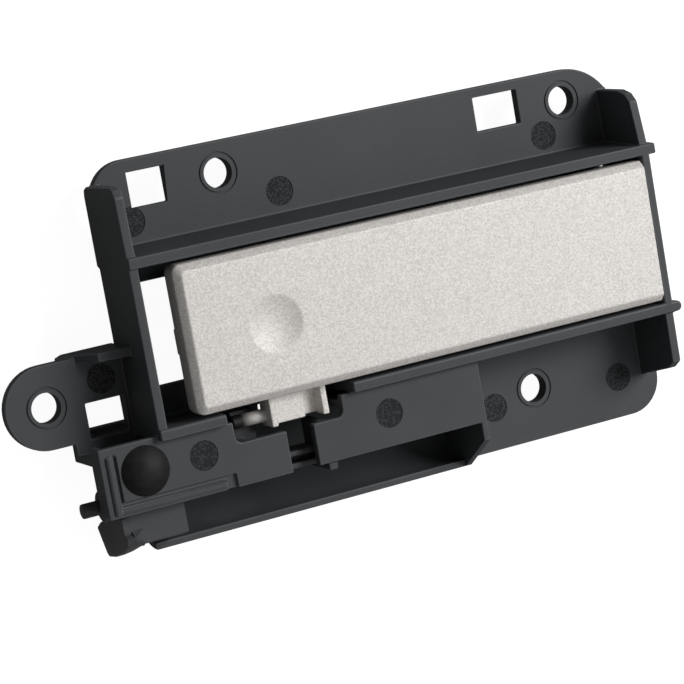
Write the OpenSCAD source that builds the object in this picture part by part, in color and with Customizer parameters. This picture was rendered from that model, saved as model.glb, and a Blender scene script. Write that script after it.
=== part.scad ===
// Glove box latch: a moulded flange with two rails, a hinged push paddle
// between them and a latch pawl that turns under a raised deck beside it.
// The modules are drawn from the inner face of the left end wall (X), the
// middle of the pocket (Y) and the front face of the flange (Z), and
// in_part_frame() moves them all to the part's own origin.

/* [Pocket and rails] */
// Length of the pocket between its end walls
pocket_l = 123.3; // [118:0.1:130]
// Width of the pocket between its rails
pocket_w = 34.1; // [33:0.1:36]
// Thickness of the two rails
rail_t = 2.4; // [2:0.1:3]
// Thickness of the end walls and wings
wall_t = 2.1; // [1.8:0.1:2.4]
// Height of the rails above the flange
rail_h = 15.5; // [15:0.1:17]
// How far the rails run past the right end wall
rail_run = 2.3; // [1:0.1:4]
// Length of the lower rail's left piece
rail_stub = 13.2; // [12:0.1:15]
// Gap in the lower rail for the paddle's lug
rail_gap = 30; // [28:0.1:32]
// Length of the floor window under the paddle's free end
window_l = 13.5; // [13:0.1:15]
// Distance of the window from the left wall
window_in = 2.6; // [2:0.1:4]
// Width of the floor window
window_w = 22.8; // [18:0.1:26]
// Offset of the window's middle from the pocket's middle
window_off = 1; // [0:0.1:2]
// Height of the two stop pads under the paddle
pad_h = 1.6; // [1:0.1:2.4]
// Distance of the stop pads from the left wall
pad_in = 20; // [18:0.5:24]
// Distance between the stop pads, middle to middle
pad_pitch = 18; // [14:0.5:22]
// Width of the raised strip beside the lower rail
strip_w = 2.6; // [1.5:0.1:4]

/* [Flange] */
// Thickness of the flange
flange_t = 2.5; // [2:0.1:3]
// Flange beyond the upper rail
flange_up = 19.3; // [18:0.1:24]
// Flange beyond the lower rail
flange_down = 24; // [23:0.1:26]
// Radius of the upper left corner
corner_ul = 8; // [4:0.5:10]
// Radius of the upper right corner
corner_ur = 13; // [8:0.5:14]
// Radius of the lower right corner
corner_lr = 8; // [4:0.5:10]
// Reach of the left wing beyond the upper rail
wing_l = 15; // [12:0.5:17]
// Reach of the right wing beyond the upper rail
wing_u = 13; // [12:0.1:16]
// Reach of the right wing beyond the lower rail
wing_d = 15.4; // [13:0.1:18]
// Depth of the ejector pin marks
mark_deep = 0.15; // [0.1:0.05:0.4]
// Diameter of the ejector pin marks
mark_d = 6.5; // [5:0.1:7]

/* [Fixing holes] */
// Diameter of the screw holes
screw_d = 6.6; // [5:0.1:7]
// Outer diameter of the groove round each screw hole
ring_d = 9.2; // [8.8:0.1:10]
// Depth of that groove
ring_deep = 0.3; // [0.2:0.05:0.6]
// Diameter of the boss behind each screw hole
boss_d = 11.4; // [10.8:0.1:12]
// Height of the boss behind the flange
boss_h = 0.7; // [0.4:0.1:1.2]
// Distance between the two upper screw holes
screw_pitch = 86.4; // [80:0.1:88]
// Distance of the upper left screw hole from the left wall
screw_in = 27.3; // [26:0.1:30]
// Distance of the upper screw holes from the flange's upper edge
screw_edge = 6.9; // [6.4:0.1:8]
// Distance of the lower screw hole from the flange's right edge
screw_low_in = 33.1; // [28:0.1:38]
// Distance of the lower screw hole from the flange's lower edge
screw_low = 12; // [8:0.1:13]
// Width of the two small clip holes
clip_w = 8.6; // [7:0.1:9]
// Height of the clip holes
clip_h = 7.7; // [6:0.1:8]
// Width of the wide clip hole
clip_wide = 11.2; // [9:0.1:12]
// Distance of the left clip hole from the left wall
clip_left = 6.5; // [5.5:0.1:8]
// Distance of the wide clip hole from the left wall
clip_right = 91.3; // [88:0.1:93]
// Distance of the clip holes' lower side from the flange's upper edge
clip_edge = 10.3; // [9:0.1:11]
// Distance of the ear's clip hole from the left wall
clip_ear = 9.8; // [9.4:0.1:10]

/* [Ear] */
// Radius of the ear round its screw hole
ear_r = 9.1; // [8.8:0.1:9.5]
// Distance of the ear's screw hole from the left wall
ear_reach = 18.4; // [17.5:0.1:22]
// Distance of the ear's screw hole below the pocket's middle
ear_drop = 9.2; // [9:0.1:9.6]
// Depth of the skirts below the flange's front at the left side
skirt_deep = 4.5; // [3:0.1:6]
// Thickness of the gussets on the ear
gusset_t = 1.9; // [1.4:0.1:2.2]
// Height of the gussets at the left wall
gusset_h = 7; // [4:0.5:9]

/* [Deck and gutter] */
// Height of the deck above the flange
deck_h = 13.4; // [13:0.1:14]
// Thickness of the deck
deck_t = 2; // [1.6:0.1:2.2]
// Reach of the deck beyond the lower rail
deck_out = 13.9; // [13.6:0.1:14.2]
// Reach of the deck beyond the left wall
deck_left = 13.6; // [12:0.1:14.5]
// Height of the skirt at the deck's left end
skirt_h = 5.5; // [4:0.1:7]
// Distance of the deck's right end from the left wall
deck_right = 74.7; // [70:0.1:78]
// Length of the deck's left block beyond the left wall
block_l = 26.8; // [26:0.1:28]
// Where the right block starts beside the notch
block_r = 40.7; // [40:0.1:42]
// Where the right block starts beside the slot
block_tip = 33.2; // [32.6:0.1:34]
// Radius of the notch's corners
notch_r = 1.6; // [0.8:0.1:2]
// Depth of the notch beside the rail
notch_d = 4.7; // [4.4:0.1:5.2]
// Where the notch starts
notch_l = 15; // [14.4:0.1:16]
// Inner radius of the gutter
gutter_r = 10.3; // [10.2:0.1:10.6]
// Wall of the gutter and of the deck's supports
gutter_t = 1.5; // [1.4:0.1:1.8]
// Height of the gutter's axis and of its lip above the flange
gutter_h = 2; // [1:0.1:3]
// Distance of the gutter's axis beyond the lower rail
gutter_out = 13.2; // [13:0.1:13.8]
// Where the gutter starts
gutter_l = -3; // [-3.4:0.1:-2]
// Diameter of the rubber buffer
buffer_d = 10.8; // [9:0.1:11.4]
// Height of the rubber buffer's dome
buffer_h = 2.4; // [1.5:0.1:3]

/* [Paddle] */
// Clearance between the paddle and each rail
paddle_gap = 0.9; // [0.6:0.05:1.2]
// Clearance between the paddle and the right end wall
paddle_end = 0.7; // [0.5:0.05:1.2]
// Opening between the left wall and the paddle's free end
paddle_open = 6.7; // [6:0.1:7.5]
// Height of the paddle's face above the rails
paddle_proud = 1.5; // [0.5:0.1:2]
// Depth of the paddle's shell
paddle_deep = 6; // [5.5:0.1:6.5]
// Thickness of the paddle's face
face_t = 2.6; // [2.4:0.1:3]
// Thickness of the paddle's side walls and ribs
side_t = 1.8; // [1.6:0.1:2.2]
// Width of the chamfer on three sides of the face
chamfer_w = 1.6; // [0.8:0.1:1.8]
// Height of that chamfer
chamfer_h = 1.5; // [0.8:0.1:1.8]
// Radius of the paddle's corners at its free end
paddle_r = 2; // [1:0.1:3]
// Diameter of the round dimple
dimple_d = 12.4; // [9:0.1:14]
// Depth of the dimple
dimple_deep = 1.2; // [0.6:0.1:1.4]
// Distance of the dimple's centre from the free end
dimple_in = 20.7; // [15:0.1:24]
// Distance between the ribs across the shell
rib_pitch = 18; // [14:0.5:20]
// Width of each hinge ear
ear_w = 3; // [2.4:0.1:3.4]
// Distance of the hinge axis from the right end wall
hinge_in = 7.5; // [7:0.1:9]
// Height of the hinge axis above the flange
hinge_h = 8; // [7.6:0.1:8.2]
// Diameter of the hinge pin
pin_d = 3; // [2.6:0.1:3.2]
// Radial clearance of pins and journals in their bores
running = 0.05; // [0.02:0.01:0.08]

/* [Pawl] */
// Distance of the pawl's axis beyond the lower rail
axis_out = 12.15; // [12:0.05:12.3]
// Height of the pawl's axis above the flange
axis_h = 5; // [4.8:0.1:5.1]
// Diameter of the pawl's trunnion and journal
journal_d = 3.2; // [2.8:0.1:3.6]
// Diameter of the pawl's barrel
barrel_d = 11.6; // [11:0.1:12]
// Reach of the barrel's outer shoe from the axis
shoe_r = 10; // [9.4:0.1:10.1]
// Diameter of the ribbed shaft
shaft_d = 4.4; // [4.2:0.1:4.6]
// Thickness of the shaft's ribs
rib_t = 1.3; // [1.1:0.1:1.4]
// Thickness of the nose
nose_t = 2; // [1.8:0.1:2.4]
// Reach of the nose from the axis
nose_reach = 13.1; // [12.6:0.1:13.2]
// Diameter of the pin on the paddle's lug
lug_pin_d = 2.9; // [2.4:0.1:3]
// Play between the lug's pin and the pawl's arm
lug_play = 0.3; // [0.28:0.01:0.34]
// Lever of the lug's pin from the pawl's axis
lug_lever = 11.1; // [11:0.05:11.2]
// Wire of the two springs
wire_d = 0.8; // [0.6:0.05:0.85]
// Distance of the pawl's spring from the left wall
coil_in = 7; // [5:0.1:7.5]
// Reach of the paddle spring's legs from the hinge axis
leg_l = 11; // [8:0.5:12]
// Thickness of the buffer's foot under the deck
foot_t = 1.2; // [1:0.1:1.6]

/* [Hidden] */
$fn = 64;

through = 1;
sink = 0.3;
rail_in = pocket_w / 2;
rail_out = rail_in + rail_t;
wall_x = pocket_l + wall_t;
flange_x = wall_x + rail_run;
flange_top = rail_out + flange_up;
flange_low = -rail_out - flange_down;
ear_x = -wall_t - ear_reach;
screw_y = flange_top - screw_edge;
deck_x = -wall_t - deck_left;
deck_y = -rail_out - deck_out;
deck_under = deck_h - deck_t;
skirt_y = -ear_drop - ear_r;
notch_y = -rail_out - notch_d;
gap_end = rail_stub + rail_gap;
gutter_y = -rail_out - gutter_out;
gutter_out_r = gutter_r + gutter_t;
support_y = gutter_y + gutter_r;
axis_y = -rail_out - axis_out;
face_z = rail_h + paddle_proud;
shell_z = face_z - paddle_deep;
paddle_x = pocket_l - paddle_end;
paddle_y = rail_in - paddle_gap;
hinge_x = pocket_l - hinge_in;
bore_r = pin_d / 2 + running;
arm_up = 1.5;
lug_pin_y = axis_y + lug_lever;
lug_pin_z = axis_h + arm_up + lug_pin_d / 2 + lug_play;
bearing_t = 2;
bearing_r = journal_d / 2 + 1.8;
rim_x = 11.4;
web_x = block_tip + 2.2;
barrel_x = 2.5;
lug_x = 24.4;
lug_l = 12.2;
floor_y = -rail_out + 0.25;
tray_x = block_l - 2;
tray_z = gutter_h - gutter_out_r + 4;
foot_r = 3.4;
strip_h = 0.4;
rail_draft = 1;
pad_d = 4;
catch_y = axis_y + lug_lever - 5.9;
catch_t = 1.8;
catch_z = 3.8;
fin_off = 1.35;
fin_up = 4;
buffer_x = -6.1;
buffer_y = -24.8;
low_z = gutter_h - gutter_out_r;
dull = "#4a4c4f";
dark = "#2c2d2f";
silver = "#dad6d2";
steel = "#b9bcc0";
soft = "#222222";

// Move a sub-part to the part's own origin, the middle of its lowest face.
module in_part_frame() {
    left_x = ear_x - ear_r;
    low_y = gutter_y - gutter_out_r;
    translate([-(left_x + flange_x) / 2, -(low_y + flange_top) / 2, -low_z])
        children();
}

// A block between two corners.
module block(a, b) {
    translate(a)
        cube(b - a);
}

// Draw a profile of (Y, Z) points along X, from x0 to x1.
module along_x(x0, x1) {
    translate([x0, 0, 0])
        rotate([90, 0, 90])
            linear_extrude(x1 - x0)
                children();
}

// A round bar along X.
module bar_x(x0, x1, y, z, r) {
    translate([x0, y, z])
        rotate([0, 90, 0])
            cylinder(h = x1 - x0, r = r);
}

// A round bar along Y.
module bar_y(y0, y1, x, z, r) {
    translate([x, y0, z])
        rotate([-90, 0, 0])
            cylinder(h = y1 - y0, r = r);
}

// A square corner minus its rounding: taken from a plate to round one corner.
module corner(x, y, sx, sy, r) {
    translate([x, y, -flange_t - through])
        difference() {
            block([min(0, -sx * r), min(0, -sy * r), 0] - [sx > 0 ? 0 : through, sy > 0 ? 0 : through, 0],
                [max(0, -sx * r), max(0, -sy * r), flange_t + 2 * through]
                    + [sx > 0 ? through : 0, sy > 0 ? through : 0, 0]);
            translate([-sx * r, -sy * r, -through])
                cylinder(h = flange_t + 4 * through, r = r);
        }
}

// Everything that is solid in the moulding, before its openings.
module housing_body() {
    // flange, ear and the screw bosses behind them
    difference() {
        block([-wall_t, -rail_out, -flange_t], [flange_x, flange_top, 0]);
        corner(-wall_t, flange_top, -1, 1, corner_ul);
        corner(flange_x, flange_top, 1, 1, corner_ur);
    }
    difference() {
        block([deck_right - gutter_t, flange_low, -flange_t], [flange_x, -rail_out + sink, 0]);
        corner(flange_x, flange_low, 1, -1, corner_lr);
    }
    block([ear_x, -ear_drop - ear_r, -flange_t], [0, -ear_drop + ear_r, 0]);
    translate([ear_x, -ear_drop, -flange_t])
        cylinder(h = flange_t, r = ear_r);
    for (p = SCREWS)
        translate([p[0], p[1], -flange_t - boss_h])
            cylinder(h = boss_h + sink, r = boss_d / 2);
    rails();
    wings();
    gussets();
    deck();
    gutter();
    arm_tray();
    for (s = [-1, 1])
        block([pad_in, (s * pad_pitch - pad_d) / 2, -sink], [pad_in + 1.5 * pad_d, (s * pad_pitch + pad_d) / 2, pad_h]);
    block([deck_right - sink, -rail_out - strip_w, -sink], [pocket_l + sink, -rail_out + sink, strip_h]);
}

SCREWS = [
    [screw_in, screw_y],
    [screw_in + screw_pitch, screw_y],
    [flange_x - screw_low_in, flange_low + screw_low],
    [ear_x, -ear_drop]
];

// The rails and the end walls of the pocket.
module rails() {
    along_x(-wall_t, flange_x - 0.6)
        polygon([[rail_in, -flange_t], [rail_out + rail_draft, -flange_t], [rail_out + rail_draft, 0],
            [rail_out, rail_h], [rail_in, rail_h]]);
    block([-wall_t, -rail_out, -flange_t], [rail_stub, -rail_in, rail_h]);
    block([gap_end, -rail_out, -flange_t], [flange_x - rail_t / 2, -rail_in, rail_h]);
    translate([flange_x - rail_t / 2, -rail_in - rail_t / 2, -flange_t])
        cylinder(h = rail_h + flange_t, r = rail_t / 2);
    block([-wall_t, -rail_out, -skirt_deep + 1.5], [0, rail_out, rail_h - 0.8]);
    block([pocket_l, -rail_out, -flange_t], [wall_x, rail_out, rail_h]);
}

// The wings that carry the end walls on across the flange.
module wings() {
    along_x(-wall_t, 0)
        polygon([[rail_in, -skirt_deep], [rail_out + wing_l - 2, -skirt_deep],
            [rail_out + wing_l - 0.6, -skirt_deep + 0.5], [rail_out + wing_l, -skirt_deep + 2],
            [rail_out + wing_l, rail_h - 3.6],
            [rail_out + wing_l - 0.8, rail_h - 2.2], [rail_out + wing_l - 2.4, rail_h - 1.5],
            [rail_in, rail_h - 0.8]]);
    along_x(pocket_l, wall_x)
        polygon([[rail_in, -sink], [rail_out + wing_u, -sink], [rail_out + wing_u, 2],
            [rail_out + wing_u - 0.3, rail_h - 6.5], [rail_out + wing_u - 1.2, rail_h - 3.6],
            [rail_out + wing_u - 3, rail_h - 1.9],
            [rail_in, rail_h]]);
    along_x(pocket_l, wall_x)
        polygon([[-rail_in, -sink], [-rail_out - wing_d, -sink], [-rail_out - wing_d + 2.4, rail_h - 3],
            [-rail_out - wing_d + 4, rail_h - 0.5], [-rail_in, rail_h - 0.5]]);
}

// The two walls that brace the ear against the left wall, in front and behind.
module gussets() {
    low = -skirt_deep - 1.5;
    brace(-ear_drop + ear_r + 0.5 - gusset_t, [[ear_x + 8, 0], [ear_x + 11.5, gusset_h - 1.4],
        [-wall_t + sink, gusset_h], [-wall_t + sink, low], [ear_x + 7, low], [ear_x + 4.5, -flange_t]]);
    brace(-ear_drop - ear_r, [[ear_x + 4, 0], [-wall_t + sink, 0], [-wall_t + sink, low],
        [ear_x + 6, low], [ear_x + 4, low + 2]]);
}

// One such wall: an outline of (X, Z) points that starts at the given Y.
module brace(y, outline) {
    translate([0, y + gusset_t, 0])
        rotate([90, 0, 0])
            linear_extrude(gusset_t)
                polygon(outline);
}

// The deck, its left skirt and the bearings of the pawl.
module deck() {
    bearing_x = deck_x + gutter_t;
    block([deck_x, deck_y, deck_under], [block_l, skirt_y, deck_h]);
    block([0, deck_y, deck_under], [block_l, -rail_out + sink, deck_h]);
    block([block_tip, deck_y, deck_under], [deck_right, -rail_out + sink, deck_h]);
    block([deck_x, deck_y, deck_h - skirt_h], [bearing_x, skirt_y, deck_h]);
    // bearing of the trunnion, behind the skirt
    bar_x(bearing_x - sink, bearing_x + bearing_t, axis_y, axis_h, bearing_r);
    block([bearing_x - sink, axis_y - bearing_r / 2, axis_h],
        [bearing_x + bearing_t, axis_y + bearing_r, deck_h - sink]);
    // inner support wall with the floor strip that ties it to the rail
    for (x = [[deck_x, block_l], [block_tip, deck_right]]) {
        block([x[0], support_y, -flange_t], [x[1], support_y + gutter_t, deck_h - sink]);
        block([x[0], support_y, -flange_t], [x[1], max(skirt_y, -rail_out) + sink, 0]);
    }
    // bearing web of the right journal
    block([web_x, axis_y - bearing_r, axis_h - bearing_r], [web_x + bearing_t, support_y + sink, deck_h - sink]);
    // rim of the sunk panel: a bead along the left edge and one along the free edge
    bar_y(deck_y + 0.6, skirt_y - 1.8, deck_x + 2, deck_h - 0.3, 0.9);
    bar_x(deck_x + 2, rim_x, deck_y + 1.1, deck_h - 0.8, 1);
}

// The opening beside the rail that the lug works in, with rounded corners.
module notch() {
    top = deck_h + through;
    block([notch_l, notch_y + notch_r, 0], [block_r, floor_y, top]);
    block([notch_l + notch_r, notch_y, 0], [block_r - notch_r, floor_y, top]);
    block([notch_l, floor_y - sink, 0], [block_r, -rail_in + sink, top]);
    for (x = [notch_l + notch_r, block_r - notch_r])
        translate([x, notch_y + notch_r, 0])
            cylinder(h = top, r = notch_r);
}

// The tray below the floor that closes the room of the pawl's arm.
module arm_tray() {
    t = 1.2;
    low = tray_z - t;
    block([notch_l - t, support_y - 3, low], [tray_x + t, floor_y + t, tray_z]);
    block([notch_l - t, floor_y, low], [tray_x + t, floor_y + t, -sink]);
    for (x = [notch_l + 0.6 - t, tray_x])
        block([x, support_y, low], [x + t, floor_y + t, -sink]);
}

// The half-round gutter and its right end web.
module gutter() {
    difference() {
        bar_x(gutter_l, deck_right, gutter_y, gutter_h, gutter_out_r);
        bar_x(gutter_l - through, deck_right - gutter_t, gutter_y, gutter_h, gutter_r);
        block([gutter_l - through, gutter_y - gutter_out_r - through, gutter_h],
            [deck_right + through, gutter_y + gutter_out_r + through, gutter_h + gutter_out_r + through]);
    }
    along_x(deck_right - gutter_t, deck_right)
        polygon([[gutter_y - gutter_out_r, gutter_h], [deck_y - 4, deck_h], [-rail_in - sink, deck_h],
            [-rail_in - sink, -flange_t], [gutter_y, -flange_t], [gutter_y - gutter_out_r, gutter_h - sink]]);
}

// The moulded housing.
module base_housing() {
    color(dull)
        in_part_frame()
            difference() {
                housing_body();
                // screw holes with the groove round each
                for (p = SCREWS)
                    translate([p[0], p[1], 0]) {
                        translate([0, 0, -flange_t - boss_h - through])
                            cylinder(h = flange_t + boss_h + 2 * through, r = screw_d / 2);
                        difference() {
                            translate([0, 0, -ring_deep])
                                cylinder(h = ring_deep + through, r = ring_d / 2);
                            translate([0, 0, -ring_deep - through])
                                cylinder(h = ring_deep + 3 * through, r = ring_d / 2 - 0.5);
                        }
                    }
                clip_hole(clip_left, flange_top - clip_edge - 0.3, clip_w);
                clip_hole(clip_right, flange_top - clip_edge + 0.3, clip_wide);
                clip_hole(-wall_t - clip_ear, skirt_y + 0.35, clip_w);
                // floor window and the lug's opening beside it
                block([window_in, window_off - window_w / 2, -flange_t - through],
                    [window_in + window_l, window_off + window_w / 2, sink]);
                notch();
                // room for the pawl's arm to swing down
                block([notch_l + 0.6, support_y - 2, tray_z], [tray_x, floor_y, deck_under]);
                block([rail_stub, -rail_out, 0], [gap_end, -rail_in + sink, rail_h + through]);
                // bores of the hinge pin, open on the lower side only
                bar_y(-rail_out - through, rail_in + 1.4, hinge_x, hinge_h, bore_r);
                // bores of the pawl's trunnion and journal
                for (x = [deck_x + gutter_t, web_x])
                    bar_x(x - through, x + bearing_t + through, axis_y, axis_h, journal_d / 2 + running);
                // seat of the rubber buffer, with room for its foot
                translate([buffer_x, buffer_y, deck_under - through])
                    cylinder(h = deck_t + 2 * through, r = foot_r - 0.9);
                translate([buffer_x, buffer_y, deck_under - foot_t - 2 * sink])
                    cylinder(h = foot_t + 2 * sink, r = foot_r + sink);
                // groove round the sunk panel and the small pocket at its end
                block([deck_x + 3.1, deck_y + 2.2, deck_h - 0.9], [rim_x + sink, deck_y + 3.1, deck_h + through]);
                block([deck_x + 3.1, deck_y + 2.2, deck_h - 0.9], [deck_x + 3.7, skirt_y - 2, deck_h + through]);
                block([rim_x, deck_y - through, deck_h - 0.9], [rim_x + 2.4, deck_y + 3.1, deck_h + through]);
                for (m = MARKS)
                    translate([m[0], m[1], m[2] - mark_deep])
                        cylinder(h = mark_deep + through, r = mark_d / 2, $fn = 48);
            }
}

MARKS = [
    [5.7, 25.4, 0], [40.8, 25.2, 0], [107.7, 24.8, 0], [117, -34, 0], [83.8, -33.6, 0], [-7.4, -5.7, 0],
    [51.4, -26, deck_h], [7.3, -24.8, deck_h]
];

// One rectangular clip hole through the flange.
module clip_hole(x, y, w) {
    block([x, y, -flange_t - through], [x + w, y + clip_h, through]);
}

// The push paddle: a ribbed shell with its hinge ears, stop hook and lug.
module push_paddle() {
    color(silver)
        in_part_frame()
            difference() {
                union() {
                    paddle_shell();
                    paddle_ears();
                    paddle_hook();
                    paddle_lug();
                }
                bar_y(-paddle_y - through, paddle_y + through, hinge_x, hinge_h, bore_r);
                dimple_r = (pow(dimple_d / 2, 2) + pow(dimple_deep, 2)) / (2 * dimple_deep);
                translate([paddle_open + dimple_in, -0.5, face_z + dimple_r - dimple_deep])
                    sphere(r = dimple_r, $fn = 160);
            }
}

module paddle_shell() {
    difference() {
        hull() {
            for (s = [-1, 1]) {
                translate([paddle_open + paddle_r, s * (paddle_y - paddle_r), shell_z])
                    cylinder(h = paddle_deep - chamfer_h, r = paddle_r, $fn = 32);
                translate([paddle_open + chamfer_w + 0.8, s * (paddle_y - chamfer_w - 0.8), shell_z])
                    cylinder(h = paddle_deep, r = 0.8, $fn = 32);
            }
            block([paddle_x - 1, -paddle_y, shell_z], [paddle_x, paddle_y, face_z - chamfer_h]);
            block([paddle_x - 1, chamfer_w - paddle_y, shell_z], [paddle_x, paddle_y - chamfer_w, face_z]);
        }
        block([paddle_open + side_t, side_t - paddle_y, shell_z - through],
            [paddle_x - side_t, paddle_y - side_t, face_z - face_t]);
    }
    // ribs inside the shell
    for (y = [-5.5, 5.5])
        block([paddle_open + side_t - sink, y - side_t / 2, shell_z + 2 * sink],
            [paddle_x - side_t + sink, y + side_t / 2, face_z - face_t + sink]);
    for (x = [paddle_open + rib_pitch:rib_pitch:paddle_x - rib_pitch])
        block([x, side_t - paddle_y - sink, shell_z + 2 * sink],
            [x + 1.4, paddle_y - side_t + sink, face_z - face_t + sink]);
}

// Two ears that carry the hinge pin.
module paddle_ears() {
    r = pin_d / 2 + 2.2;
    for (y = [side_t - paddle_y - sink, paddle_y - side_t + sink - ear_w]) {
        bar_y(y, y + ear_w, hinge_x, hinge_h, r);
        block([hinge_x - r, y, hinge_h], [hinge_x + r, y + ear_w, face_z - face_t + sink]);
    }
}

// The hook that stops the paddle's free end under the edge of the window.
module paddle_hook() {
    toe_z = -flange_t - 0.3;
    hook_x = window_in + window_l - 3.8;
    block([hook_x, -5.4, toe_z - 1.8], [hook_x + 2.2, 0.4, face_z - face_t + sink]);
    block([hook_x, -5.4, toe_z - 1.8], [hook_x + 6, 0.4, toe_z]);
}

// The lug and its pin, that press on the pawl's arm.
module paddle_lug() {
    low = lug_pin_z - lug_pin_d / 2;
    top = lug_pin_z + 3.4;
    root = -paddle_y + side_t;
    out = -rail_out - 3;
    tab_t = 1.5;
    block([lug_x + tab_t - sink, out, low], [lug_x + 8.2, root, top]);
    block([lug_x + tab_t - sink, out, low], [lug_x + lug_l, root, top - 2.6]);
    block([lug_x + tab_t - sink, -paddle_y, low], [lug_x + lug_l, root + 2, face_z - face_t + sink]);
    for (x = [lug_x, lug_x + lug_l])
        block([x, out - 0.5, low], [x + tab_t, root, top + 0.5]);
    bar_x(lug_x - 7.8, lug_x + sink, lug_pin_y, lug_pin_z, lug_pin_d / 2);
}

// The steel pin of the paddle's hinge.
module hinge_pin() {
    color(steel)
        in_part_frame()
            bar_y(-rail_out + 0.1, rail_in + 1.3, hinge_x, hinge_h, pin_d / 2);
}

// The pawl: trunnion, nose, barrel, ribbed shaft, arm and journal.
module latch_pawl() {
    nose_x = deck_x + gutter_t + bearing_t + 0.3;
    nose_end = nose_x + nose_t;
    shaft_end = web_x - 0.3;
    arm_x = 17.2;
    arm_w = 5.4;
    fin_x = block_l - 0.6;
    color(dark)
        in_part_frame() {
            bar_x(deck_x - 3.1, nose_x + sink, axis_y, axis_h, journal_d / 2);
            along_x(nose_x, nose_end)
                nose_outline();
            // flare from the nose to the barrel
            hull() {
                along_x(nose_end - sink, nose_end)
                    intersection() {
                        nose_outline();
                        translate([axis_y - nose_reach, axis_h - nose_reach])
                            square([nose_reach - barrel_d / 2, 2 * nose_reach]);
                    }
                along_x(nose_end, nose_end + 2.4)
                    barrel_outline(shoe_r, axis_y - barrel_d / 2);
            }
            along_x(nose_end - sink, barrel_x)
                barrel_outline(shoe_r - 0.1, axis_y + barrel_d);
            bar_x(barrel_x - sink, shaft_end, axis_y, axis_h, shaft_d / 2 - 0.5);
            block([barrel_x - sink, axis_y - rib_t / 2, axis_h - shaft_d / 2],
                [fin_x + sink, axis_y + rib_t / 2, axis_h + shaft_d / 2]);
            block([barrel_x - sink, axis_y - shaft_d / 2, axis_h - rib_t / 2],
                [fin_x + sink, axis_y + shaft_d / 2, axis_h + rib_t / 2]);
            // two fins of the shaft in the slot
            for (s = [-1, 1])
                block([fin_x, axis_y + s * fin_off - rib_t / 2, axis_h - shaft_d / 2],
                    [shaft_end, axis_y + s * fin_off + rib_t / 2, axis_h + fin_up]);
            // crank arm under the lug's pin, with the catch of the spring
            block([arm_x, axis_y, axis_h - 1.5], [arm_x + arm_w, lug_pin_y + 2, axis_h + arm_up]);
            block([arm_x, catch_y, axis_h], [arm_x + 2, catch_y + catch_t, axis_h + catch_z + 2]);
            block([coil_in + 3, catch_y, axis_h + catch_z],
                [arm_x + sink, catch_y + catch_t, axis_h + catch_z + 2]);
            bar_x(shaft_end - sink, web_x + bearing_t + 1, axis_y, axis_h, journal_d / 2);
        }
}

// Outline of the nose, as (Y, Z) points round the axis.
module nose_outline() {
    translate([axis_y, axis_h])
        scale(nose_reach / 13.1)
            polygon([[3, 0], [-2.8, 4.3], [-6.4, 4.4], [-7, 5.8], [-8.8, 4.8], [-10.6, 1.7], [-12.3, -4.5],
                [-12.8, -8.6], [-12.2, -9.6], [-6.8, -13.1], [-5.3, -10.4], [-3.6, -4.8], [0, -4.5]]);
}

// Outline of the barrel: round, with a flat top and the shoe on its outer side, up to a given Y.
module barrel_outline(r, y) {
    intersection() {
        translate([axis_y, axis_h])
            union() {
                circle(r = barrel_d / 2);
                intersection() {
                    circle(r = r, $fn = 96);
                    polygon([[0, 0], [-2.8, 4.3], [-6.4, 4.4], [-r, 4.4], [-r, -0.7 * r], [-0.7 * r, -r]]);
                }
            }
        translate([axis_y - 2 * r, axis_h - 2 * r])
            square([y - axis_y + 2 * r, 2 * r + barrel_d / 2 - 1.5]);
    }
}

// A round wire swept along a path; up is a direction that the path never takes.
function unit(v) = v / norm(v);
function heading(p, i) = unit(p[min(i + 1, len(p) - 1)] - p[max(i - 1, 0)]);
module wire(path, up) {
    sides = 8;
    n = len(path);
    rings = [for (i = [0:n - 1])
        let(t = heading(path, i), a = unit(cross(t, up)), b = cross(t, a))
            for (k = [0:sides - 1])
                path[i] + wire_d / 2 * (cos(360 * k / sides) * a + sin(360 * k / sides) * b)];
    walls = [for (i = [0:n - 2]) for (k = [0:sides - 1])
        let(k2 = (k + 1) % sides)
            [i * sides + k, i * sides + k2, (i + 1) * sides + k2, (i + 1) * sides + k]];
    first = [for (k = [sides - 1:-1:0]) k];
    last = [for (k = [0:sides - 1]) (n - 1) * sides + k];
    polyhedron(points = rings, faces = concat([first], walls, [last]));
}

// The torsion spring round the hinge pin.
module paddle_spring() {
    r = pin_d / 2 + wire_d / 2 + 0.4;
    turns = 5;
    steps = 18;
    pitch = wire_d + 0.15;
    c = [hinge_x, -pad_d, hinge_h];
    color(steel)
        in_part_frame()
            wire(concat(
                [c + [-leg_l, 0, -hinge_h + wire_d / 2 + 0.1]],
                [for (i = [0:turns * steps])
                    let(a = -90 + i * 360 / steps)
                        c + [r * sin(a), i * pitch / steps, r * cos(a)]],
                [c + [3 - leg_l, turns * pitch, face_z - face_t - hinge_h - 1.3]]), [0, 1, 0]);
}

// The torsion spring round the pawl's shaft.
module pawl_spring() {
    r = shaft_d / 2 + wire_d / 2 + 0.3;
    turns = 4.5;
    steps = 18;
    pitch = wire_d + 0.15;
    c = [coil_in, axis_y, axis_h];
    color(steel)
        in_part_frame()
            wire(concat(
                [[coil_in, support_y - wire_d / 2 - sink, axis_h - 2.5]],
                [for (i = [0:turns * steps])
                    let(a = 180 + i * 360 / steps)
                        c + [i * pitch / steps, r * sin(a), r * cos(a)]],
                [[coil_in + turns * pitch, catch_y + 1.6, axis_h + catch_z - wire_d / 2 - 0.1]]), [1, 0, 0]);
}

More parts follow.
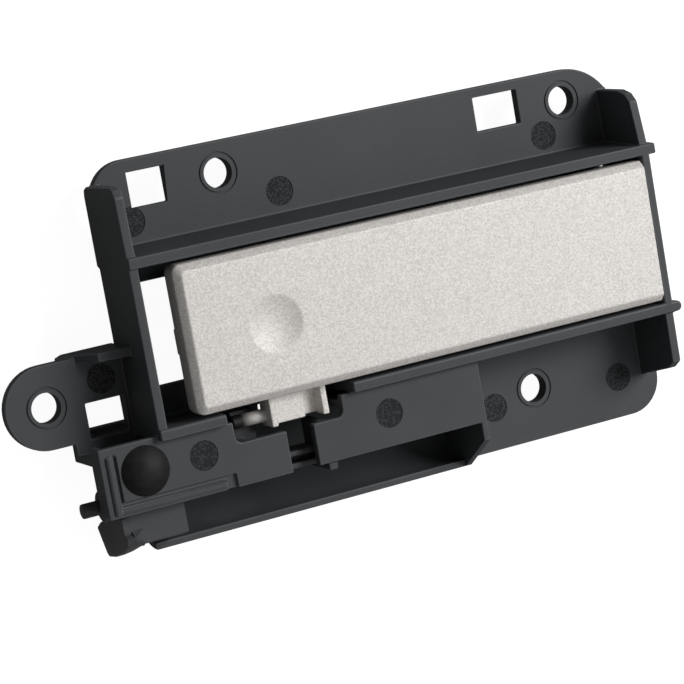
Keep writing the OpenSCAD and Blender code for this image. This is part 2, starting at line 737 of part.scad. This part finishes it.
// The rubber buffer on the deck, with the stem that holds it.
module rubber_buffer() {
    color(soft)
        in_part_frame()
            translate([buffer_x, buffer_y, 0]) {
                dome_r = (pow(buffer_d / 2, 2) + pow(buffer_h, 2)) / (2 * buffer_h);
                translate([0, 0, deck_h + 0.1])
                    intersection() {
                        translate([0, 0, buffer_h - dome_r])
                            sphere(r = dome_r, $fn = 96);
                        cylinder(h = buffer_h + through, r = buffer_d / 2);
                    }
                translate([0, 0, deck_under - foot_t])
                    cylinder(h = foot_t + deck_t + sink, r = foot_r - 1.1);
                translate([0, 0, deck_under - foot_t - 0.1])
                    cylinder(h = foot_t, r = foot_r);
            }
}

base_housing();
push_paddle();
hinge_pin();
paddle_spring();
latch_pawl();
pawl_spring();
rubber_buffer();
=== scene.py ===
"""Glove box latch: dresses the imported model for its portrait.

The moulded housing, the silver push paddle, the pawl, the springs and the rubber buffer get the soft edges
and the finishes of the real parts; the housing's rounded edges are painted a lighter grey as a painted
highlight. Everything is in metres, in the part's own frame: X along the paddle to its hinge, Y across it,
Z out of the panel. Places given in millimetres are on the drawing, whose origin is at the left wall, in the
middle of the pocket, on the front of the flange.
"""

import logging
import math
from dataclasses import dataclass
from enum import Enum

import bmesh
import bpy
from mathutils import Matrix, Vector

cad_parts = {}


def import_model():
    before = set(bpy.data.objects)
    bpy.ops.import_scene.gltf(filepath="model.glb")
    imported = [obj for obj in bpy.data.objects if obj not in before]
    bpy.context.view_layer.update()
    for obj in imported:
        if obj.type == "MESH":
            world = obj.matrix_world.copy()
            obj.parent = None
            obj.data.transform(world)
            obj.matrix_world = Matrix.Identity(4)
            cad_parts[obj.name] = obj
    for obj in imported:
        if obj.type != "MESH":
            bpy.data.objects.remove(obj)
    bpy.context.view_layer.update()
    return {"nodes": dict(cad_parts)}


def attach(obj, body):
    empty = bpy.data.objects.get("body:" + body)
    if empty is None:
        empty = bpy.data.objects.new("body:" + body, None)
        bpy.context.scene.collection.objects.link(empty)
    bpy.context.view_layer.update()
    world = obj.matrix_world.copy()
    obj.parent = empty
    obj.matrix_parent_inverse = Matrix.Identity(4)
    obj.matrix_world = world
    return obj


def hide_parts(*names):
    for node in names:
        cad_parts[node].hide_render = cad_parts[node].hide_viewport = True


LOG = logging.getLogger("glove_box_latch")
MM = 0.001

# From the drawing's origin to the part's own.
SHIFT_MM = Vector((-49.05, 2.85, 9.8))
DECK_H = 13.4

# The Mix node's inputs and output for colours, by number: each name stands there once per kind of value.
SHARE, FIRST, SECOND = 0, 6, 7
MIXED = 2

Socket = bpy.types.NodeSocket
Point = tuple[float, float, float]
Range = tuple[float, float]
# A place on the drawing and how far around it something reaches, in millimetres.
Spot = tuple[Point, float]


def place(x: float, y: float, z: float) -> Vector:
    """Turn a place on the drawing into one in the part's frame.

    Args:
        x: millimetres from the left wall's inner face.
        y: millimetres from the middle of the pocket.
        z: millimetres above the flange's front face.

    Returns:
        The same place in metres.
    """
    return (Vector((x, y, z)) + SHIFT_MM) * MM


def linear(colour: str) -> tuple[float, float, float, float]:
    """Turn an sRGB hex colour into the linear colour a shader takes.

    Args:
        colour: six hex digits after a hash mark.

    Returns:
        Linear red, green, blue and an alpha of one.
    """
    channels = [int(colour[i : i + 2], 16) / 255 for i in (1, 3, 5)]
    # the curve that sRGB is defined by
    return (*(c / 12.92 if c <= 0.04045 else ((c + 0.055) / 1.055) ** 2.4 for c in channels), 1.0)


def add_node(
    tree: bpy.types.NodeTree, kind: str, inputs: dict[str | int, object] | tuple = (), **settings: str
) -> bpy.types.Node:
    """Add one shader node with its settings and links.

    Args:
        tree: the node tree of a material or a world.
        kind: Blender's name of the node type.
        inputs: what each input gets, by its name or number, or else in the inputs' own order. A socket of
            another node is linked to it, and anything else is its plain value.
        **settings: values of the node's own fields.

    Returns:
        The new node.
    """
    made = tree.nodes.new(kind)
    for name, value in settings.items():
        setattr(made, name, value)
    pairs = inputs.items() if isinstance(inputs, dict) else enumerate(inputs)
    for name, value in pairs:
        if isinstance(value, Socket):
            tree.links.new(value, made.inputs[name])
        else:
            made.inputs[name].default_value = value
    return made


def blank(name: str) -> tuple[bpy.types.Material, bpy.types.NodeTree, Socket]:
    """Start a material with nothing in it but the Object coordinates.

    Args:
        name: the finish's name.

    Returns:
        The material, its node tree and the coordinates' socket.
    """
    made = bpy.data.materials.new(name)
    made.use_nodes = True
    made.node_tree.nodes.clear()
    return made, made.node_tree, add_node(made.node_tree, "ShaderNodeTexCoord").outputs["Object"]


@dataclass(frozen=True)
class Mottle:
    """Soft spots of a real size, as on handled plastic, oiled wire or dusty rubber.

    Values of the noise from reads[0] to reads[1] are spread over gives[0] to gives[1].
    """

    size_mm: float
    layers: float
    gives: Range
    reads: Range = (0.3, 0.7)
    fineness: float = 0.5

    def draw(self, tree: bpy.types.NodeTree, where: Socket) -> tuple[Socket, Socket]:
        """Draw the spots.

        Args:
            tree: the material's node tree.
            where: the Object coordinates.

        Returns:
            The spots' value, spread over the range that they give, and their relief between 0 and 1.
        """
        spots = {
            "Vector": where,
            "Scale": 1 / (self.size_mm * MM),
            "Detail": self.layers,
            "Roughness": self.fineness,
        }
        relief = add_node(tree, "ShaderNodeTexNoise", spots).outputs["Fac"]
        value = add_node(tree, "ShaderNodeMapRange", (relief, *self.reads, *self.gives))
        return value.outputs["Result"], relief


class Grain(Enum):
    """How the steel of the mould leaves the plastic: its specks, their depth, and the roughness added."""

    # a real spark grain is 0.1 mm and would not show, so it is drawn four times as coarse
    SPARK = (Mottle(0.4, 3.0, (0.94, 1.06), (0.25, 0.75), 0.65), 0.16, 0.04)
    SATIN = (Mottle(0.7, 3.0, (0.94, 1.06), (0.25, 0.75), 0.65), 0.08, 0.0)

    @property
    def specks(self) -> Mottle:
        """The pattern of the grain."""
        return self.value[0]

    @property
    def depth(self) -> float:
        """Strength of the relief."""
        return self.value[1]

    @property
    def dull(self) -> float:
        """What the grain adds to the roughness."""
        return self.value[2]


@dataclass(frozen=True)
class EjectorMarks:
    """Round spots where the ejector pins stood: dull, with the dot pattern of the pins' faces."""

    centres: tuple[Point, ...]
    across_mm: float = 6.5
    dot_mm: float = 0.55
    disorder: float = 0.75
    dot_rim: Range = (0.2, 0.55)
    dot_depth: float = 0.9
    tone: float = 0.84
    dot_tone: float = 0.36
    dull: float = 0.18
    # stretched along Z, so that a mark doesn't reach through to the back of the wall
    stretch: Point = (1.0, 1.0, 3.0)

    def mask(self, tree: bpy.types.NodeTree, where: Socket) -> tuple[Socket, Socket]:
        """Find the marks and draw their dots.

        Args:
            tree: the material's node tree.
            where: the Object coordinates.

        Returns:
            A socket that is 1 on the marks, and one that is 1 on the dots between them.
        """
        flat = add_node(tree, "ShaderNodeVectorMath", (where, self.stretch), operation="MULTIPLY").outputs[0]
        reach = self.across_mm / 2 * MM
        inside: Socket | float = 0.0
        for centre in self.centres:
            spot = tuple(along * by for along, by in zip(centre, self.stretch))
            far = add_node(tree, "ShaderNodeVectorMath", (flat, spot), operation="DISTANCE").outputs["Value"]
            near = add_node(tree, "ShaderNodeMath", (far, reach), operation="LESS_THAN").outputs[0]
            inside = add_node(tree, "ShaderNodeMath", (inside, near), operation="MAXIMUM").outputs[0]
        cells = {"Vector": where, "Scale": 1 / (self.dot_mm * MM), "Randomness": self.disorder}
        rim = add_node(tree, "ShaderNodeTexVoronoi", cells).outputs["Distance"]
        dots = add_node(tree, "ShaderNodeMapRange", (rim, *self.dot_rim)).outputs["Result"]
        return inside, add_node(tree, "ShaderNodeMath", (inside, dots), operation="MULTIPLY").outputs[0]

    def press(
        self, tree: bpy.types.NodeTree, where: Socket, tone: Socket, height: Socket, rough: float
    ) -> tuple[Socket, Socket, Socket]:
        """Press the marks into a plastic.

        Args:
            tree: the material's node tree.
            where: the Object coordinates.
            tone: the plastic's brightness.
            height: its relief.
            rough: its roughness.

        Returns:
            The brightness, the relief and the roughness with the marks in them.
        """
        inside, dots = self.mask(tree, where)
        for mask, factor in ((inside, self.tone), (dots, self.dot_tone)):
            shade = add_node(tree, "ShaderNodeMapRange", (mask, 0.0, 1.0, 1.0, factor)).outputs["Result"]
            tone = add_node(tree, "ShaderNodeMath", (tone, shade), operation="MULTIPLY").outputs[0]
        pits = add_node(tree, "ShaderNodeMath", (dots, self.dot_depth), operation="MULTIPLY").outputs[0]
        height = add_node(tree, "ShaderNodeMath", (height, pits), operation="SUBTRACT").outputs[0]
        dull = add_node(tree, "ShaderNodeMath", (inside, self.dull, rough), operation="MULTIPLY_ADD")
        return tone, height, dull.outputs[0]


@dataclass(frozen=True)
class MouldedPlastic:
    """Grey-black plastic from a steel mould: acrylonitrile butadiene styrene, or acetal for what turns.

    To the eye it is dull and a little uneven in tone, with a fine grain.
    """

    name: str
    colour: str = "#47494b"
    rough: float = 0.54
    gloss: float = 0.14
    ior: float = 1.5
    grain: Grain = Grain.SPARK
    relief_mm: float = 0.06
    marks: EjectorMarks | None = None
    # pigment streaks of the melt, and the clouding of plastic that has been handled
    streaks: Mottle = Mottle(30, 3.0, (0.93, 1.07))
    clouding: Mottle = Mottle(6, 4.0, (0.965, 1.035))
    # where the clouds are pale they are rough as well: their tone, and what it adds to the roughness
    cloud_tone: Range = (0.96, 1.04)
    cloud_rough: Range = (-0.04, 0.04)

    def make(self) -> bpy.types.Material:
        """Build the material.

        Returns:
            A material with mottled colour, fine grain and dotted ejector marks.
        """
        made, tree, where = blank(self.name)
        drift, _ = self.streaks.draw(tree, where)
        cloud, _ = self.clouding.draw(tree, where)
        specks, height = self.grain.specks.draw(tree, where)
        tone = add_node(tree, "ShaderNodeMath", (drift, cloud), operation="MULTIPLY").outputs[0]
        tone = add_node(tree, "ShaderNodeMath", (tone, specks), operation="MULTIPLY").outputs[0]
        rough: Socket | float = self.rough + self.grain.dull
        if self.marks:
            tone, height, rough = self.marks.press(tree, where, tone, height, rough)
        uneven = add_node(tree, "ShaderNodeMapRange", (cloud, *self.cloud_tone, *self.cloud_rough)).outputs[0]
        rough = add_node(tree, "ShaderNodeMath", (uneven, rough), operation="ADD").outputs[0]
        tint = {0: linear(self.colour)[:3], "Scale": tone}
        colour = add_node(tree, "ShaderNodeVectorMath", tint, operation="SCALE").outputs[0]
        relief = {"Strength": self.grain.depth, "Distance": self.relief_mm * MM, "Height": height}
        surface = {
            "Base Color": colour,
            "Normal": add_node(tree, "ShaderNodeBump", relief).outputs[0],
            "Roughness": rough,
            "IOR": self.ior,
            "Specular IOR Level": self.gloss,
        }
        shader = add_node(tree, "ShaderNodeBsdfPrincipled", surface)
        add_node(tree, "ShaderNodeOutputMaterial", {"Surface": shader.outputs[0]})
        return made


@dataclass(frozen=True)
class SilverPaint:
    """Silver base coat with aluminium flakes, sprayed from above on the black paddle.

    To the eye it is pale and warm, with a sparkle like fine sand. It thins out to bare plastic on the
    lug's pin.
    """

    name: str = "silver_metallic_paint"
    colour: str = "#e9e5e1"
    shade: str = "#c2beb9"
    bare: str = "#141414"
    metal: float = 0.15
    gloss: float = 0.3
    ior: float = 1.5
    # real flakes are 0.05 mm, too fine to show, so each is drawn as a cell of 0.3 mm
    flake_mm: float = 0.3
    flake_share: float = 0.6
    sand: Mottle = Mottle(0.36, 3.0, (0.51, 0.64), (0.2, 0.8), 0.8)
    sand_share: float = 0.6
    sand_depth: float = 0.3
    relief_mm: float = 0.05
    clouding: Mottle = Mottle(9, 3.0, (-0.02, 0.02))
    pale_range: Range = (0.2, 1.0)
    # the lug's pin is bare up to the first place, and the paint is full from the second on
    bare_place: Point = (18.8, -18.3, 0.0)
    full_place: Point = (23.2, -17.2, 0.0)

    def fade(self, tree: bpy.types.NodeTree, where: Socket) -> Socket:
        """Find where the paint has thinned out.

        Args:
            tree: the material's node tree.
            where: the Object coordinates.

        Returns:
            A socket that is 0 on the full paint and 1 on the bare pin.
        """
        axes = add_node(tree, "ShaderNodeSeparateXYZ", (where,)).outputs
        bare, full = place(*self.bare_place), place(*self.full_place)
        along = add_node(tree, "ShaderNodeMapRange", (axes[0], bare.x, full.x, 1.0, 0.0)).outputs["Result"]
        beside = add_node(tree, "ShaderNodeMapRange", (axes[1], bare.y, full.y, 1.0, 0.0)).outputs["Result"]
        return add_node(tree, "ShaderNodeMath", (along, beside), operation="MULTIPLY").outputs[0]

    def make(self) -> bpy.types.Material:
        """Build the material.

        Returns:
            A pale metallic paint with a sparkle of fine flakes.
        """
        made, tree, where = blank(self.name)
        flakes = add_node(tree, "ShaderNodeTexVoronoi", {"Vector": where, "Scale": 1 / (self.flake_mm * MM)})
        # each flake has its own brightness
        spark = add_node(tree, "ShaderNodeSeparateColor", (flakes.outputs["Color"],)).outputs[0]
        rough, sand = self.sand.draw(tree, where)
        cloud, _ = self.clouding.draw(tree, where)
        for value, share in ((sand, self.sand_share), (spark, self.flake_share)):
            sparkle = (value, share, cloud)
            cloud = add_node(tree, "ShaderNodeMath", sparkle, operation="MULTIPLY_ADD").outputs[0]
        pale = add_node(tree, "ShaderNodeMapRange", (cloud, *self.pale_range)).outputs["Result"]
        coat = {SHARE: pale, FIRST: linear(self.shade), SECOND: linear(self.colour)}
        paint = add_node(tree, "ShaderNodeMix", coat, data_type="RGBA").outputs[MIXED]
        fade = self.fade(tree, where)
        thinned = {SHARE: fade, FIRST: paint, SECOND: linear(self.bare)}
        metal = add_node(tree, "ShaderNodeMapRange", (fade, 0.0, 1.0, self.metal, 0.0)).outputs["Result"]
        relief = {"Strength": self.sand_depth, "Distance": self.relief_mm * MM, "Height": sand}
        surface = {
            "Base Color": add_node(tree, "ShaderNodeMix", thinned, data_type="RGBA").outputs[MIXED],
            "Metallic": metal,
            "Normal": add_node(tree, "ShaderNodeBump", relief).outputs[0],
            "Roughness": rough,
            "IOR": self.ior,
            "Specular IOR Level": self.gloss,
        }
        shader = add_node(tree, "ShaderNodeBsdfPrincipled", surface)
        add_node(tree, "ShaderNodeOutputMaterial", {"Surface": shader.outputs[0]})
        return made


@dataclass(frozen=True)
class BufferRubber:
    """Black nitrile rubber from a polished mould: dark, soft sheen, a bloom of fine pale dust."""

    name: str = "buffer_nitrile_rubber"
    colour: str = "#171717"
    bloom: str = "#252524"
    gloss: float = 0.2
    ior: float = 1.52
    dust: Mottle = Mottle(1.6, 5.0, (0.0, 0.7), (0.4, 0.75), 0.6)
    dust_rough: Range = (0.55, 0.7)
    skin_mm: float = 0.3
    skin_layers: float = 3.0
    skin_depth: float = 0.12
    relief_mm: float = 0.03

    def make(self) -> bpy.types.Material:
        """Build the material.

        Returns:
            Dark rubber with a faint mottled bloom.
        """
        made, tree, where = blank(self.name)
        dust, _ = self.dust.draw(tree, where)
        coat = {SHARE: dust, FIRST: linear(self.colour), SECOND: linear(self.bloom)}
        skin = {"Vector": where, "Scale": 1 / (self.skin_mm * MM), "Detail": self.skin_layers}
        height = add_node(tree, "ShaderNodeTexNoise", skin).outputs["Fac"]
        relief = {"Strength": self.skin_depth, "Distance": self.relief_mm * MM, "Height": height}
        rough = (dust, *self.dust.gives, *self.dust_rough)
        surface = {
            "Base Color": add_node(tree, "ShaderNodeMix", coat, data_type="RGBA").outputs[MIXED],
            "Normal": add_node(tree, "ShaderNodeBump", relief).outputs[0],
            "Roughness": add_node(tree, "ShaderNodeMapRange", rough).outputs["Result"],
            "IOR": self.ior,
            "Specular IOR Level": self.gloss,
        }
        shader = add_node(tree, "ShaderNodeBsdfPrincipled", surface)
        add_node(tree, "ShaderNodeOutputMaterial", {"Surface": shader.outputs[0]})
        return made


@dataclass(frozen=True)
class SpringSteel:
    """Drawn and oiled wire: grey metal with fine drawing lines and a few darker stains."""

    name: str
    colour: str = "#8d8f92"
    stain: str = "#4c4a47"
    drawn: Mottle = Mottle(0.4, 3.0, (0.26, 0.46))
    oil: Mottle = Mottle(2.5, 4.0, (0.0, 0.6), (0.5, 0.75))

    def make(self) -> bpy.types.Material:
        """Build the material.

        Returns:
            A metal with an uneven polish.
        """
        made, tree, where = blank(self.name)
        rough, _ = self.drawn.draw(tree, where)
        oil, _ = self.oil.draw(tree, where)
        coat = {SHARE: oil, FIRST: linear(self.colour), SECOND: linear(self.stain)}
        colour = add_node(tree, "ShaderNodeMix", coat, data_type="RGBA").outputs[MIXED]
        surface = {"Base Color": colour, "Metallic": 1.0, "Roughness": rough}
        shader = add_node(tree, "ShaderNodeBsdfPrincipled", surface)
        add_node(tree, "ShaderNodeOutputMaterial", {"Surface": shader.outputs[0]})
        return made


Finish = MouldedPlastic | SilverPaint | BufferRubber | SpringSteel


@dataclass(frozen=True)
class StudioCard:
    """The seamless background: white to the camera, pale grey paper to the light."""

    name: str = "studio_paper"
    colour: str = "#8a8a8a"
    glow: float = 0.95
    mirrored: float = 0.12

    def make(self) -> bpy.types.Material:
        """Build the material.

        Returns:
            Paper that the camera sees as white, with the object's shadow kept.
        """
        made, tree, _ = blank(self.name)
        paper = add_node(tree, "ShaderNodeBsdfDiffuse", {"Color": linear(self.colour)}).outputs[0]
        light = {"Color": linear("#ffffff"), "Strength": self.glow}
        glow = add_node(tree, "ShaderNodeEmission", light).outputs[0]
        path = add_node(tree, "ShaderNodeLightPath").outputs
        straight = (path["Is Camera Ray"], path["Is Transmission Ray"])
        seen = add_node(tree, "ShaderNodeMath", straight, operation="MAXIMUM").outputs[0]
        # dull black plastic would turn grey in front of full white, so reflections get a share of it
        share = add_node(tree, "ShaderNodeMath", (path["Is Glossy Ray"], self.mirrored), operation="MULTIPLY")
        seen = add_node(tree, "ShaderNodeMath", (seen, share.outputs[0]), operation="MAXIMUM").outputs[0]
        lit = add_node(tree, "ShaderNodeAddShader", (paper, glow)).outputs[0]
        pick = add_node(tree, "ShaderNodeMixShader", (seen, paper, lit))
        add_node(tree, "ShaderNodeOutputMaterial", {"Surface": pick.outputs[0]})
        return made


@dataclass(frozen=True)
class SoftBox:
    """A square lamp that faces the latch."""

    name: str
    at: Point
    side_m: float
    watts: float

    def hang(self) -> None:
        """Hang the lamp in its place."""
        data = bpy.data.lights.new(self.name, "AREA")
        data.size = self.side_m
        data.energy = self.watts
        made = bpy.data.objects.new(self.name, data)
        made.location = self.at
        made.rotation_euler = (-Vector(self.at)).to_track_quat("-Z", "Y").to_euler()
        bpy.context.scene.collection.objects.link(made)


@dataclass(frozen=True)
class Studio:
    """Camera, lamps and the pale floor."""

    camera_mm: Point = (-232.232, 77.275, 528.525)
    camera_deg: Point = (-3.9177, -25.2151, -10.9317)
    lens_mm: float = 136.842
    film_mm: float = 36.0
    near_m: float = 0.01
    floor_m: float = 3.0
    air: float = 0.12
    lamps: tuple[SoftBox, ...] = (
        SoftBox("key_right", (0.62, 0.27, 0.8), 0.5, 9.6),
        SoftBox("fill_low", (0.15, -0.5, 0.9), 0.8, 1.9),
    )

    def camera(self) -> None:
        """Put the camera where the photograph was taken from."""
        data = bpy.data.cameras.new("portrait")
        data.lens = self.lens_mm
        data.sensor_width = self.film_mm
        data.clip_start = self.near_m
        made = bpy.data.objects.new("portrait", data)
        made.location = [along * MM for along in self.camera_mm]
        made.rotation_euler = [math.radians(turn) for turn in self.camera_deg]
        bpy.context.scene.collection.objects.link(made)
        bpy.context.scene.camera = made

    def floor(self) -> None:
        """Lay the floor under the latch."""
        bpy.ops.mesh.primitive_plane_add(size=self.floor_m, location=(0, 0, 0))
        made = bpy.context.object
        made.name = "studio_floor"
        made.data.materials.append(StudioCard().make())

    def backdrop(self) -> None:
        """Fill the air with a little light that the camera sees as white."""
        world = bpy.data.worlds.new("studio_air")
        world.use_nodes = True
        tree = world.node_tree
        tree.nodes.clear()
        seen = add_node(tree, "ShaderNodeLightPath").outputs["Is Camera Ray"]
        strength = add_node(tree, "ShaderNodeMapRange", (seen, 0.0, 1.0, self.air, 1.0)).outputs["Result"]
        air = add_node(tree, "ShaderNodeBackground", {"Color": linear("#ffffff"), "Strength": strength})
        add_node(tree, "ShaderNodeOutputWorld", {"Surface": air.outputs[0]})
        bpy.context.scene.world = world

    def build(self) -> None:
        """Set up the whole studio."""
        self.camera()
        for lamp in self.lamps:
            lamp.hang()
        self.floor()
        self.backdrop()
        bpy.context.scene.view_settings.view_transform = "Standard"


@dataclass(frozen=True)
class Crest:
    """A part of the drawing where the edges are rounder than elsewhere."""

    radius_mm: float
    low: Point
    high: Point

    def holds(self, edge: bmesh.types.BMEdge) -> bool:
        """Tell whether an edge lies wholly in this part.

        Args:
            edge: an edge of the piece.

        Returns:
            True if both its ends do.
        """
        low, high = place(*self.low), place(*self.high)
        return all(low[axis] < vert.co[axis] < high[axis] for vert in edge.verts for axis in range(3))


@dataclass(frozen=True)
class Moulding:
    """A moulded or drawn piece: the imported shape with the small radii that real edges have."""

    node: str
    body: str
    name: str
    finish: Finish
    # a lighter colour for the rounded edges, where there is one: a painted highlight
    painted_edge_highlight: MouldedPlastic | None = None
    edge_mm: float = 0.3
    crest: Crest | None = None
    segments: int = 2
    keep_sharp: tuple[Spot, ...] = ()
    # an edge is rounded from this angle on, and one below the next only divides a flat face
    round_deg: float = 17.0
    flat_deg: float = 1.0
    # the shading is smooth up to this angle
    smooth_deg: float = 50.0
    merge_mm: float = 0.002
    # an edge needs this many radii of room beside it, except where the next edge runs on in its line
    room: float = 1.25
    in_line: float = 0.9
    # large faces rule the shading of the small ones
    face_weight: int = 100

    def copy(self, source: bpy.types.Object) -> bpy.types.Object:
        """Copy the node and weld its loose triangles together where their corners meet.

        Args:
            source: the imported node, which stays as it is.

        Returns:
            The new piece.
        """
        made = bpy.data.objects.new(self.name, source.data.copy())
        bpy.context.scene.collection.objects.link(made)
        bpy.ops.object.select_all(action="DESELECT")
        made.select_set(True)
        bpy.context.view_layer.objects.active = made
        bpy.ops.object.mode_set(mode="EDIT")
        bpy.ops.mesh.select_mode(type="VERT")
        bpy.ops.mesh.select_all(action="SELECT")
        bpy.ops.mesh.remove_doubles(threshold=self.merge_mm * MM)
        bpy.ops.mesh.customdata_custom_splitnormals_clear()
        bpy.ops.object.mode_set(mode="OBJECT")
        return made

    def roomy(self, edge: bmesh.types.BMEdge, radius: float) -> bool:
        """Tell whether an edge has room for a radius.

        Args:
            edge: a sharp edge of the piece.
            radius: in millimetres.

        Returns:
            True if each edge that leaves its ends sideways is long enough.
        """
        for vert in edge.verts:
            away = (edge.other_vert(vert).co - vert.co).normalized()
            for side in vert.link_edges:
                if side is edge or side.calc_face_angle(0.0) < math.radians(self.flat_deg):
                    continue
                out = side.other_vert(vert).co - vert.co
                if out.length < self.room * radius * MM and abs(out.normalized().dot(away)) < self.in_line:
                    return False
        return True

    def radius(self, edge: bmesh.types.BMEdge) -> float:
        """Choose the radius of an edge.

        Args:
            edge: an edge of the piece.

        Returns:
            The radius in millimetres, or zero if the edge stays as it is.
        """
        if len(edge.link_faces) != 2 or edge.calc_face_angle(0.0) < math.radians(self.round_deg):
            return 0.0
        middle = (edge.verts[0].co + edge.verts[1].co) / 2
        if any((middle - place(*spot)).length < reach * MM for spot, reach in self.keep_sharp):
            return 0.0
        wanted = self.crest.radius_mm if self.crest and self.crest.holds(edge) else self.edge_mm
        return wanted if self.roomy(edge, wanted) else 0.0

    def soften(self, piece: bpy.types.Object) -> None:
        """Round the sharp edges that have room for it.

        Args:
            piece: the merged copy.
        """
        shape = bmesh.new()
        shape.from_mesh(piece.data)
        weight = shape.edges.layers.float.new("bevel_weight_edge")
        widest = max(self.edge_mm, self.crest.radius_mm if self.crest else 0.0)
        for edge in shape.edges:
            edge[weight] = self.radius(edge) / widest
        shape.to_mesh(piece.data)
        shape.free()
        bevel = piece.modifiers.new("mould_radius", "BEVEL")
        bevel.width = widest * MM
        bevel.segments = self.segments
        bevel.limit_method = "WEIGHT"
        bevel.use_clamp_overlap = False
        bevel.loop_slide = False
        # the radii get the painted highlight where there is one, and else the finish of the faces beside them
        bevel.material = 1 if self.painted_edge_highlight else -1
        bpy.ops.object.modifier_apply(modifier=bevel.name)

    def build(self, nodes: dict[str, bpy.types.Object]) -> bpy.types.Object:
        """Make the piece and put it in its node's place.

        Args:
            nodes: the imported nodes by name.

        Returns:
            The finished piece.
        """
        piece = self.copy(nodes[self.node])
        piece.data.materials.clear()
        for finish in (self.finish, self.painted_edge_highlight):
            if finish:
                piece.data.materials.append(finish.make())
        for face in piece.data.polygons:
            face.material_index = 0
        if self.edge_mm:
            self.soften(piece)
        bpy.ops.object.shade_smooth_by_angle(angle=math.radians(self.smooth_deg))
        flat = piece.modifiers.new("flat_faces_stay_flat", "WEIGHTED_NORMAL")
        flat.weight = self.face_weight
        flat.keep_sharp = True
        bpy.ops.object.modifier_apply(modifier=flat.name)
        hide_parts(self.node)
        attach(piece, self.body)
        return piece


@dataclass(frozen=True)
class Housing:
    """The moulded housing, and what it holds: the rubber buffer, the hinge pin and the paddle's spring."""

    nodes: dict[str, bpy.types.Object]
    mark_spots: tuple[Point, ...] = (
        (5.7, 25.4, 0),
        (40.8, 25.2, 0),
        (107.7, 24.8, 0),
        (117, -34, 0),
        (83.8, -33.6, 0),
        (-7.4, -5.7, 0),
        (51.4, -26, DECK_H),
        (7.3, -24.8, DECK_H),
    )
    # around a mark and a screw hole the edges stay sharp as far as this
    mark_reach: float = 4.0
    screw_spots: tuple[Point, ...] = (
        (27.3, 31.85, 0),
        (113.7, 31.85, 0),
        (94.6, -31.45, 0),
        (-20.5, -9.2, 0),
    )
    screw_reach: float = 6.4
    # and here several edges meet too closely to be rounded
    crowded_spots: tuple[Spot, ...] = (
        ((-3.0, -22.35, -0.25), 0.6),
        ((-3.0, -22.1, -2.7), 1.0),
        ((126.6, -18.25, 0.0), 1.7),
        ((73.2, -44.45, 1.85), 0.6),
    )
    # the top edges of the rails, except the upper rail's outer one, which the wing meets
    rail_tops: Crest = Crest(0.48, (-10, -20, 15.3), (135, 18, 20))
    segments: int = 3

    def shell(self) -> bpy.types.Object:
        """Build and dress the moulded housing.

        Returns:
            The finished piece.
        """
        sharp = [(spot, self.mark_reach) for spot in self.mark_spots]
        sharp += [(spot, self.screw_reach) for spot in self.screw_spots]
        marks = EjectorMarks(tuple(tuple(place(*spot)) for spot in self.mark_spots))
        return Moulding(
            "base_housing",
            "housing",
            "moulded_housing",
            MouldedPlastic("grey_black_moulded_abs", marks=marks),
            # the rounded edges are painted a lighter grey than the faces: a painted highlight where a thin
            # edge turns through the lamp's light
            MouldedPlastic("abs_edges_painted_highlight", colour="#525457", rough=0.46, gloss=0.2, grain=Grain.SATIN),
            crest=self.rail_tops,
            segments=self.segments,
            keep_sharp=(*sharp, *self.crowded_spots),
        ).build(self.nodes)

    def buffer(self) -> bpy.types.Object:
        """Build and dress the rubber buffer."""
        rubber = BufferRubber()
        return Moulding("rubber_buffer", "housing", "dome_buffer", rubber, edge_mm=0.0).build(self.nodes)

    def spring(self) -> bpy.types.Object:
        """Build and dress the paddle's spring."""
        wire = SpringSteel("paddle_spring_oiled_wire")
        name = "round_wire_paddle_spring"
        return Moulding("paddle_spring", "housing", name, wire, edge_mm=0.0).build(self.nodes)

    def pin(self) -> bpy.types.Object:
        """Build and dress the hinge pin."""
        rod = SpringSteel("hinge_pin_drawn_steel", colour="#b4b6b9")
        return Moulding("hinge_pin", "housing", "steel_hinge_pin", rod).build(self.nodes)


@dataclass(frozen=True)
class Paddle:
    """The silver paddle, with the lug and pin that work the pawl."""

    nodes: dict[str, bpy.types.Object]
    # the pin leaves the lug here, too closely to be rounded
    pin_root: Spot = ((24.4, -20.5, 6.4), 3.0)

    def face(self) -> bpy.types.Object:
        """Build and dress the paddle."""
        sharp = (self.pin_root,)
        paint = SilverPaint()
        return Moulding("push_paddle", "paddle", "silver_paddle", paint, keep_sharp=sharp).build(self.nodes)


@dataclass(frozen=True)
class Pawl:
    """The turning pawl and its spring."""

    nodes: dict[str, bpy.types.Object]
    # the nose meets the barrel here, at angles too fine to be rounded
    nose_root: Spot = ((-9.6, -38.2, 9.9), 3.4)

    def nose(self) -> bpy.types.Object:
        """Build and dress the pawl."""
        acetal = MouldedPlastic("pawl_moulded_acetal", colour="#47484a", rough=0.42, grain=Grain.SATIN)
        sharp = (self.nose_root,)
        return Moulding("latch_pawl", "pawl", "turning_pawl", acetal, keep_sharp=sharp).build(self.nodes)

    def spring(self) -> bpy.types.Object:
        """Build and dress the pawl's spring."""
        wire = SpringSteel("pawl_spring_oiled_wire")
        return Moulding("pawl_spring", "pawl", "round_wire_pawl_spring", wire, edge_mm=0.0).build(self.nodes)


def main() -> None:
    """Build the scene in order and report each piece."""
    logging.basicConfig(level=logging.INFO, format="%(message)s")
    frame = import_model()
    bpy.ops.object.select_all(action="DESELECT")
    Studio().build()
    housing, paddle, pawl = (kind(frame["nodes"]) for kind in (Housing, Paddle, Pawl))
    steps = (housing.shell, paddle.face, pawl.nose, housing.buffer, housing.spring, pawl.spring, housing.pin)
    for step in steps:
        piece = step()
        LOG.info("%s: %d faces", piece.name, len(piece.data.polygons))


if __name__ == "__main__":
    main()
